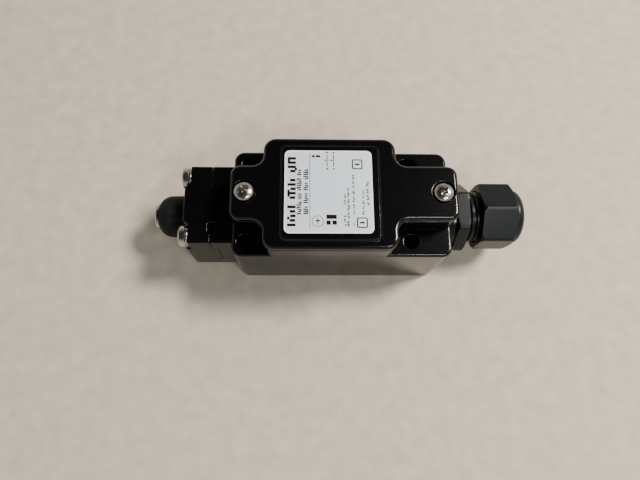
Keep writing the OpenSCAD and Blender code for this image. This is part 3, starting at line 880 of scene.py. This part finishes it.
def build_gland_body(sizes):
    """Gland body: plain shank, hexagon, then a helical thread, all round a stepped bore."""
    angle = circle_angles(ROUND_STEPS) + HEXAGON_TURN
    start, end = GLAND_LOW[0], GLAND_HIGH[0]
    face = limits("gland_washer")[1][0]
    corner = HEXAGON_FLATS / math.sqrt(3)
    root, shoulder = THREAD_ROOT, face + HEXAGON_LENGTH
    along = [face, face + 0.35, face + 0.7, shoulder - 0.7, shoulder - 0.35, shoulder]
    envelope = corner + np.array([-0.9, -0.35, 0.2, 0.2, -0.35, -0.9])
    loops = np.concatenate([
        even_rows([(9.4, start), (GLAND_SHANK, start + 0.6), (GLAND_SHANK, face)], angle),
        hexagon_rows(along, envelope, HEXAGON_FLATS, HEXAGON_TURN, angle),
        even_rows([(root + 0.25, shoulder), (root, shoulder + 0.2)], angle),
        thread_rows(shoulder + 0.3, end - 0.6, sizes, angle),
        even_rows([(root, end - 0.3), (root - 0.3, end), (SEAL_RADIUS, end), (SEAL_RADIUS, SEAL_STEP),
                   (CABLE_RADIUS, SEAL_STEP), (CABLE_RADIUS, start)], angle),
    ])
    piece(solid(loops, closed=True), "gland_stem", "gland_body", [finishes()["gland_nylon"]])


def build_gland_nut(_sizes):
    """Gland nut: a hexagon with turned-down ends that runs into a domed cap with a round mouth."""
    angle = circle_angles(ROUND_STEPS) + NUT_TURN
    start, end, flat_end = NUT_LOW[0], NUT_HIGH[0], NUT_HIGH[0] - NUT_DOME
    corner = NUT_FLATS / math.sqrt(3)
    along = np.concatenate([np.linspace(0, 1.4, 6), [3.0], flat_end - start + np.linspace(-2.0, 0, 9)])
    envelope = np.concatenate([np.linspace(corner - 0.9, corner + 0.4, 6), [corner + 0.4],
                               np.linspace(corner + 0.5, 11.0, 9)])
    dome = ellipse_arc((6.9, flat_end), (4.0, NUT_DOME), 2, 88, 18)
    loops = np.concatenate([
        hexagon_rows(start + along, envelope, NUT_FLATS, NUT_TURN, angle),
        even_rows(dome, angle),
        even_rows([(MOUTH + 0.4, end), (MOUTH + 0.1, end - 0.1), (MOUTH, end - 0.35), (MOUTH, end - 1.1),
                   (NUT_BORE, end - 4.1), (NUT_BORE, start + 0.5), (NUT_BORE + 0.5, start)], angle),
    ])
    piece(solid(loops, closed=True), "gland_cap", "gland_nut", [finishes()["gland_nylon"]])


def build_gland_seals(_sizes):
    """Flat washer under the gland and the rubber insert that grips the cable."""
    rubber = [finishes()["seal_rubber"]]
    low, high = limits("gland_washer")
    washer = rounded(rectangle((10.1, high[1]), (low[0], high[0]), 0.2), steps=4)
    piece(solid(turned(washer, (0.0, GLAND_Z)), closed=True), "gland_flat_washer", "gland_washer", rubber)
    insert = rounded(rectangle((4.6, SEAL_HIGH[1]), (SEAL_LOW[0], SEAL_HIGH[0]), 0.7), steps=6)
    piece(solid(turned(insert, (0.0, GLAND_Z)), closed=True), "gland_insert", "gland_seal", rubber)


# ---------------------------------------------------------------- label


PRINT_PITCH = 1.65         # distance between strokes, in widths of a stroke
TIED = 0.55                # share of neighbouring strokes that a short bar ties


def bars(boxes, low, high):
    """Thin upright blocks over rectangles (x0, y0, x1, y1), as one object."""
    boxes = np.array(boxes, float)
    x, y = boxes[:, [0, 2, 2, 0]], boxes[:, [1, 1, 3, 3]]
    under = np.stack([x, y, np.full_like(x, low)], axis=-1)
    over = under + (0, 0, high - low)
    points = np.concatenate([under, over], axis=1).reshape(-1, 3)
    sides = [[3, 2, 1, 0], [4, 5, 6, 7], [0, 1, 5, 4], [1, 2, 6, 5], [2, 3, 7, 6], [3, 0, 4, 7]]
    faces = (np.array(sides)[None] + 8 * np.arange(len(boxes))[:, None, None]).reshape(-1, 4)
    mesh = bpy.data.meshes.new("bars")
    mesh.from_pydata((points * MM).tolist(), [], faces.tolist())
    return placed("bars", mesh)


def line_of_print(x, width, start, end, random, word, weight):
    """A column of words between two heights, each a row of plain strokes that spell nothing.

    A stroke crosses the whole line or part of it, and some pairs are tied by a short bar at one end.
    """
    boxes = []
    stroke, pitch = width * weight, width * weight * PRINT_PITCH
    y = start
    while y < end - pitch:
        stop = min(y + random.uniform(*word), end)
        while y < stop - stroke:
            low, high = [(0.0, 1.0), (0.35, 1.0), (0.0, 1.0), (0.3, 0.95)][random.integers(4)]
            boxes.append((x + low * width, y, x + high * width, y + stroke))
            if random.random() < TIED and y + pitch < stop:
                tie = x + width * random.choice([0.0, 0.86, 0.86])
                boxes.append((tie, y + stroke * 0.8, tie + stroke * 0.8, y + pitch + stroke * 0.2))
            y += pitch
        y += pitch * 1.1
    return boxes


def printed(thing, name, finish):
    """Names a piece of print, gives it a finish and ties it to the label's body."""
    thing.name = name
    thing.data.materials.clear()
    thing.data.materials.append(finishes()[finish])
    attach(thing, BODY_OF["label"])


def build_label(sizes):
    """Label: silver-grey field in a white border, with rows of plain strokes and plain symbols."""
    border = sizes.label_border / MM
    low, high = LABEL_LOW, LABEL_HIGH
    corners = rectangle((low[0], high[0]), (low[1], high[1]), 1.8)
    profile = [(0.0, low[2]), (0.0, high[2] - 0.03), (0.03, high[2]), (border, high[2])]
    plate = solid(carried(corners, profile, steps=10))
    field = max(plate.data.polygons, key=lambda face: (face.center.z, face.area)).index
    piece(plate, "label_plate", "label", [finishes()["label_border"], finishes()["label_foil"]])
    plate.data.polygons[field].material_index = 1
    build_print(sizes, low, high)


def build_print(sizes, low, high):
    """Rows of plain strokes, plain blocks and plain symbols printed on the label."""
    width, height = high[0] - low[0], high[1] - low[1]
    base, top = high[2] - 0.01, high[2] + sizes.print_height / MM

    def at(share_x, share_y):
        """Place on the label from shares of its width and height."""
        return low[0] + share_x * width, low[1] + share_y * height

    random = np.random.default_rng(7)
    x, y = at(0.035, 0.08)
    black = line_of_print(x, 2.9, y, y + 26.3, random, word=(6.5, 10.0), weight=0.34)
    # share of the width, shares of the height, size of a line, shortest and longest word
    for share, stretch, size, word in (
        (0.14, (0.22, 0.78), 1.5, (2.4, 5.2)),
        (0.215, (0.22, 0.80), 1.5, (3.0, 6.0)),
        (0.665, (0.08, 0.22), 0.75, (1.0, 2.0)),
        (0.665, (0.34, 0.50), 0.75, (1.0, 2.0)),
        (0.705, (0.08, 0.56), 0.75, (0.8, 2.4)),
        (0.765, (0.22, 0.71), 0.75, (0.8, 2.4)),
        (0.765, (0.09, 0.14), 0.6, (0.6, 1.2)),
        (0.875, (0.22, 0.53), 0.7, (0.8, 2.0)),
        (0.925, (0.33, 0.65), 0.85, (1.6, 2.6)),
    ):
        x, start = at(share, stretch[0])
        weight = 0.32 if size > 1.0 else 0.45      # thicker strokes in the smaller lines
        black += line_of_print(x, size, start, at(share, stretch[1])[1], random, word, weight)
    x, y = at(0.31, 0.915)
    black += [(x, y, x + 1.1, y + 0.8), (x + 1.4, y, x + 3.0, y + 0.8)]
    x, y = at(0.48, 0.80)
    black += contact_symbol(x, y)
    x, y = at(0.47, 0.10)
    black += [(x, y, x + 1.5, y + 1.5), (x + 2.1, y, x + 3.6, y + 1.5), (x, y + 2.1, x + 3.6, y + 3.6)]
    half, line = 1.9, 0.42
    edge = [(0.0, base), (0.0, top), (line, top), (line, base)]
    rings = []
    for share in ((0.83, 0.83), (0.87, 0.125)):
        x, y = at(*share)
        outline = rectangle((x - half, x + half), (y - half, y + half), 0.7)
        rings.append(solid(carried(outline, edge, steps=5), closed=True))
        black.append((x - 0.85, y - 0.3, x + 0.85, y + 0.3))
    x, y = at(0.375, 0.14)
    radius, line = 2.05, 0.2
    edge = [(radius, base), (radius, top), (radius - line, top), (radius - line, base)]
    rings.append(solid(turned(edge, (x, y), "Z", 48), closed=True))
    black += [(x - 0.12, y - 1.2, x + 0.12, y + 1.2), (x - 0.7, y - 0.1, x + 0.7, y + 0.45)]
    printed(joined([bars(black, base, top), *rings]), "label_print", "ink")
    x, y = at(0.283, 0.05)
    printed(bars([(x, y, x + 0.22, y + height * 0.92)], base, top), "label_rule", "grey_ink")


def contact_symbol(x, y):
    """Blocks of a plain two-contact diagram: two leads each, and a dashed link between them."""
    line = 0.3
    blocks = []
    for offset in (0.0, 2.3):
        blocks += [(x + offset, y, x + offset + line, y + 1.9),
                   (x + offset, y + 2.7, x + offset + line, y + 4.6),
                   (x + offset - 0.7, y + 2.2, x + offset + line, y + 2.2 + line),
                   (x + offset - 0.2, y + 5.2, x + offset + 0.5, y + 5.7),
                   (x + offset - 0.2, y - 1.1, x + offset + 0.5, y - 0.6)]
    blocks += [(x + 0.5 + 0.5 * k, y + 2.3, x + 0.75 + 0.5 * k, y + 2.3 + line) for k in range(4)]
    return blocks


# ---------------------------------------------------------------- inside pieces and stage


def finish_inside():
    """Gives each CAD node that stays its slot's finish."""
    for name, node in frame["nodes"].items():
        if not node.hide_render:
            node.data.materials.clear()
            node.data.materials.append(finishes()[SLOT_OF[name]])


CAMERA_AT = (-9.3, -65.0, 209.5)      # millimetres
CAMERA_TILT = 15.99                   # degrees from straight down, towards +Y
CAMERA_YAW = 1.84                     # degrees towards +X
CAMERA_ROLL = 0.13                    # degrees
CAMERA_LENS = 28.4                    # millimetres, on a sensor of the width below
CAMERA_SENSOR = 36.0
FLOOR_SPAN = 3.0                      # metres
FLOOR_GAP = 0.0002                    # metres between the floor and the rear face


def camera_matrix():
    """Camera pose: looks down, tilted up towards +Y, then yawed and rolled about its own axes."""
    tilt, yaw, roll = (math.radians(v) for v in (CAMERA_TILT, CAMERA_YAW, CAMERA_ROLL))
    ahead = Vector((0, math.sin(tilt), -math.cos(tilt)))
    up = Vector((0, math.cos(tilt), math.sin(tilt)))
    right = Vector((1, 0, 0))
    ahead, right = (ahead * math.cos(yaw) + right * math.sin(yaw),
                    right * math.cos(yaw) - ahead * math.sin(yaw))
    right, up = (right * math.cos(roll) + up * math.sin(roll),
                 up * math.cos(roll) - right * math.sin(roll))
    pose = Matrix((right, up, -ahead)).transposed().to_4x4()
    pose.translation = Vector(CAMERA_AT) * MM
    return pose


def softbox(name, place, target, size, power, tint=(1.0, 1.0, 1.0)):
    """Rectangular area light at a place, facing a target, in metres."""
    data = bpy.data.lights.new(name, "AREA")
    data.shape = "RECTANGLE"
    data.size, data.size_y = size
    data.energy = power
    data.color = tint
    lamp = placed(name, data)
    lamp.location = place
    lamp.rotation_euler = (Vector(target) - Vector(place)).to_track_quat("-Z", "Y").to_euler()


def studio_sky():
    """Surroundings that are pale near the horizon and dark overhead, by the height of the view ray."""
    world = bpy.data.worlds.new("studio")
    world.use_nodes = True
    nodes, links = world.node_tree.nodes, world.node_tree.links
    place = nodes.new("ShaderNodeTexCoord")
    parts = nodes.new("ShaderNodeSeparateXYZ")
    height = nodes.new("ShaderNodeMapRange")
    height.interpolation_type = "SMOOTHSTEP"
    for socket, value in (("From Min", 0.25), ("From Max", 0.85), ("To Min", 0.55), ("To Max", 0.03)):
        height.inputs[socket].default_value = value
    links.new(place.outputs["Generated"], parts.inputs["Vector"])
    links.new(parts.outputs["Z"], height.inputs["Value"])
    background = nodes["Background"]
    background.inputs["Color"].default_value = (0.95, 0.96, 1.0, 1.0)
    links.new(height.outputs["Result"], background.inputs["Strength"])
    return world


def build_stage():
    """Pale floor, soft lights and the camera."""
    tint = bpy.context.scene.switch_colours
    half = FLOOR_SPAN / 2
    mesh = bpy.data.meshes.new("floor")
    corners = [(-half, -half, 0), (half, -half, 0), (half, half, 0), (-half, half, 0)]
    mesh.from_pydata(corners, [], [(0, 1, 2, 3)])
    floor = placed("floor", mesh)
    floor.location.z = -FLOOR_GAP
    mesh.materials.append(moulded("floor", tint.floor, 0.7, 0.85, 1.5, 0.02))
    softbox("key", place=(0.74, 0.30, 1.0), target=(0, 0, 0), size=(0.30, 0.26), power=26.0,
            tint=(1.0, 0.965, 0.91))
    softbox("strip", place=(0.34, -0.46, 0.75), target=(0, 0, 0.03), size=(0.36, 0.05), power=3.4)
    bpy.context.scene.world = studio_sky()
    data = bpy.data.cameras.new("camera")
    data.lens = CAMERA_LENS
    data.sensor_width = CAMERA_SENSOR
    data.clip_start, data.clip_end = 0.01, 10.0
    camera = placed("camera", data)
    camera.matrix_world = camera_matrix()
    bpy.context.scene.camera = camera


# ---------------------------------------------------------------- operators and panel


class Step:
    """What the building operators share."""

    bl_options = {"REGISTER", "UNDO"}


class SWITCH_OT_housing(Step, bpy.types.Operator):
    """Build the cast housing"""

    bl_idname = "switch.housing"
    bl_label = "Housing"

    def execute(self, context):
        build_housing(context.scene.switch_sizes)
        return {"FINISHED"}


class SWITCH_OT_cover(Step, bpy.types.Operator):
    """Build the cover plate"""

    bl_idname = "switch.cover"
    bl_label = "Cover"

    def execute(self, context):
        build_cover(context.scene.switch_sizes)
        return {"FINISHED"}


class SWITCH_OT_gasket(Step, bpy.types.Operator):
    """Build the gasket strip"""

    bl_idname = "switch.gasket"
    bl_label = "Gasket"

    def execute(self, context):
        build_gasket(context.scene.switch_sizes)
        return {"FINISHED"}


class SWITCH_OT_head(Step, bpy.types.Operator):
    """Build the head"""

    bl_idname = "switch.head"
    bl_label = "Head"

    def execute(self, context):
        build_head(context.scene.switch_sizes)
        return {"FINISHED"}


class SWITCH_OT_cover_screws(Step, bpy.types.Operator):
    """Build the two cover screws"""

    bl_idname = "switch.cover_screws"
    bl_label = "Cover screws"

    def execute(self, context):
        build_cover_screws(context.scene.switch_sizes)
        return {"FINISHED"}


class SWITCH_OT_head_screws(Step, bpy.types.Operator):
    """Build the four head screws"""

    bl_idname = "switch.head_screws"
    bl_label = "Head screws"

    def execute(self, context):
        build_head_screws(context.scene.switch_sizes)
        return {"FINISHED"}


class SWITCH_OT_washers(Step, bpy.types.Operator):
    """Build the four spring washers"""

    bl_idname = "switch.washers"
    bl_label = "Spring washers"

    def execute(self, context):
        build_washers(context.scene.switch_sizes)
        return {"FINISHED"}


class SWITCH_OT_plunger(Step, bpy.types.Operator):
    """Build the plunger"""

    bl_idname = "switch.plunger"
    bl_label = "Plunger"

    def execute(self, context):
        build_plunger(context.scene.switch_sizes)
        return {"FINISHED"}


class SWITCH_OT_boot(Step, bpy.types.Operator):
    """Build the rubber boot"""

    bl_idname = "switch.boot"
    bl_label = "Boot"

    def execute(self, context):
        build_boot(context.scene.switch_sizes)
        return {"FINISHED"}


class SWITCH_OT_springs(Step, bpy.types.Operator):
    """Build the coil springs"""

    bl_idname = "switch.springs"
    bl_label = "Springs"

    def execute(self, context):
        build_springs(context.scene.switch_sizes)
        return {"FINISHED"}


class SWITCH_OT_gland_body(Step, bpy.types.Operator):
    """Build the gland body"""

    bl_idname = "switch.gland_body"
    bl_label = "Gland body"

    def execute(self, context):
        build_gland_body(context.scene.switch_sizes)
        return {"FINISHED"}


class SWITCH_OT_gland_nut(Step, bpy.types.Operator):
    """Build the gland nut"""

    bl_idname = "switch.gland_nut"
    bl_label = "Gland nut"

    def execute(self, context):
        build_gland_nut(context.scene.switch_sizes)
        return {"FINISHED"}


class SWITCH_OT_gland_seals(Step, bpy.types.Operator):
    """Build the gland's washer and insert"""

    bl_idname = "switch.gland_seals"
    bl_label = "Gland seals"

    def execute(self, context):
        build_gland_seals(context.scene.switch_sizes)
        return {"FINISHED"}


class SWITCH_OT_label(Step, bpy.types.Operator):
    """Build the label and its print"""

    bl_idname = "switch.label"
    bl_label = "Label"

    def execute(self, context):
        build_label(context.scene.switch_sizes)
        return {"FINISHED"}


class SWITCH_OT_inside(Step, bpy.types.Operator):
    """Give the inside pieces their finishes"""

    bl_idname = "switch.inside"
    bl_label = "Inside pieces"

    def execute(self, _context):
        finish_inside()
        return {"FINISHED"}


class SWITCH_OT_stage(Step, bpy.types.Operator):
    """Build the floor, the lights and the camera"""

    bl_idname = "switch.stage"
    bl_label = "Stage"

    def execute(self, _context):
        build_stage()
        return {"FINISHED"}


OPERATORS = (
    SWITCH_OT_housing,
    SWITCH_OT_cover,
    SWITCH_OT_gasket,
    SWITCH_OT_head,
    SWITCH_OT_cover_screws,
    SWITCH_OT_head_screws,
    SWITCH_OT_washers,
    SWITCH_OT_plunger,
    SWITCH_OT_boot,
    SWITCH_OT_springs,
    SWITCH_OT_gland_body,
    SWITCH_OT_gland_nut,
    SWITCH_OT_gland_seals,
    SWITCH_OT_label,
    SWITCH_OT_inside,
    SWITCH_OT_stage,
)


class SWITCH_PT_panel(bpy.types.Panel):
    """Panel that lists the sizes, colours and building steps."""

    bl_label = "Limit Switch"
    bl_idname = "SWITCH_PT_panel"
    bl_space_type = "VIEW_3D"
    bl_region_type = "UI"
    bl_category = "Limit Switch"

    def draw(self, context):
        for group in (context.scene.switch_sizes, context.scene.switch_colours):
            box = self.layout.box()
            for key in group.__annotations__:
                box.prop(group, key)
        for step in OPERATORS:
            self.layout.operator(step.bl_idname)


CLASSES = (SwitchSizes, SwitchColours, *OPERATORS, SWITCH_PT_panel)


def register():
    """Registers the classes and hangs the properties on the scene."""
    for entry in CLASSES:
        bpy.utils.register_class(entry)
    bpy.types.Scene.switch_sizes = bpy.props.PointerProperty(type=SwitchSizes)
    bpy.types.Scene.switch_colours = bpy.props.PointerProperty(type=SwitchColours)


def unregister():
    """Takes the properties and the classes away again."""
    del bpy.types.Scene.switch_colours
    del bpy.types.Scene.switch_sizes
    for entry in reversed(CLASSES):
        bpy.utils.unregister_class(entry)


def main():
    register()
    for step in OPERATORS:
        group, name = step.bl_idname.split(".")
        getattr(getattr(bpy.ops, group), name)()


if __name__ == "__main__":
    main()
